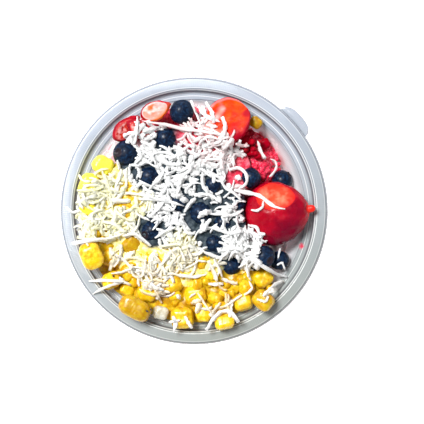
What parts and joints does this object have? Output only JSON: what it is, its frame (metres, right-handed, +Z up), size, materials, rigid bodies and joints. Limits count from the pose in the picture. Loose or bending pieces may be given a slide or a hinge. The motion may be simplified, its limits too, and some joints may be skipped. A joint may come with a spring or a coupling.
{
  "type": "pitaya bowl",
  "caption": "Round clear plastic bowl of thick pink pitaya blend, heaped with mango dice, blueberries, strawberries and shredded coconut.",
  "frame": {"origin": "on the bowl's axis, in the plane that its foot stands on", "axes": "+Z up; +X points to the big strawberry and +Y to the halved strawberry, seen from above"},
  "size_m": [0.1652, 0.1652, 0.0763],
  "materials": {
    "clear_plastic": "clear, glossy, thin vacuum-formed sheet",
    "pitaya_blend": "thick, moist fruit blend with a soft shine",
    "mango_flesh": "moist, golden, slightly translucent flesh",
    "blueberry_skin": "dark skin with a thin waxy bloom",
    "strawberry_flesh": "wet, glossy, translucent flesh",
    "pale_pitaya_flesh": "moist, pale, translucent flesh",
    "shredded_coconut": "matt white shreds"
  },
  "bodies": {
    "root": {"bowl": "clear_plastic", "pitaya_blend": "pitaya_blend", "shredded_coconut": "shredded_coconut", "strawberry_big": "strawberry_flesh", "strawberry_half": "strawberry_flesh", "strawberry_die": "strawberry_flesh", "pale_pitaya_die": "pale_pitaya_flesh", "blueberry_01": "blueberry_skin", "blueberry_02": "blueberry_skin", "blueberry_03": "blueberry_skin", "blueberry_04": "blueberry_skin", "blueberry_05": "blueberry_skin", "blueberry_06": "blueberry_skin", "blueberry_07": "blueberry_skin", "blueberry_08": "blueberry_skin", "blueberry_09": "blueberry_skin", "blueberry_10": "blueberry_skin", "blueberry_11": "blueberry_skin", "blueberry_12": "blueberry_skin", "blueberry_13": "blueberry_skin", "blueberry_14": "blueberry_skin", "blueberry_15": "blueberry_skin", "blueberry_16": "blueberry_skin", "blueberry_17": "blueberry_skin", "mango_01": "mango_flesh", "mango_02": "mango_flesh", "mango_03": "mango_flesh", "mango_04": "mango_flesh", "mango_05": "mango_flesh", "mango_06": "mango_flesh", "mango_07": "mango_flesh", "mango_08": "mango_flesh", "mango_09": "mango_flesh", "mango_10": "mango_flesh", "mango_11": "mango_flesh", "mango_12": "mango_flesh", "mango_13": "mango_flesh", "mango_14": "mango_flesh", "mango_15": "mango_flesh", "mango_16": "mango_flesh", "mango_17": "mango_flesh", "mango_18": "mango_flesh", "mango_19": "mango_flesh", "mango_20": "mango_flesh", "mango_21": "mango_flesh", "mango_22": "mango_flesh", "mango_23": "mango_flesh", "mango_24": "mango_flesh", "mango_25": "mango_flesh", "mango_26": "mango_flesh", "mango_27": "mango_flesh", "mango_28": "mango_flesh", "mango_29": "mango_flesh", "mango_30": "mango_flesh", "mango_31": "mango_flesh", "mango_32": "mango_flesh", "strawberry_slice_01": "strawberry_flesh", "strawberry_slice_02": "strawberry_flesh", "strawberry_slice_03": "strawberry_flesh"}
  },
  "joints": []
}
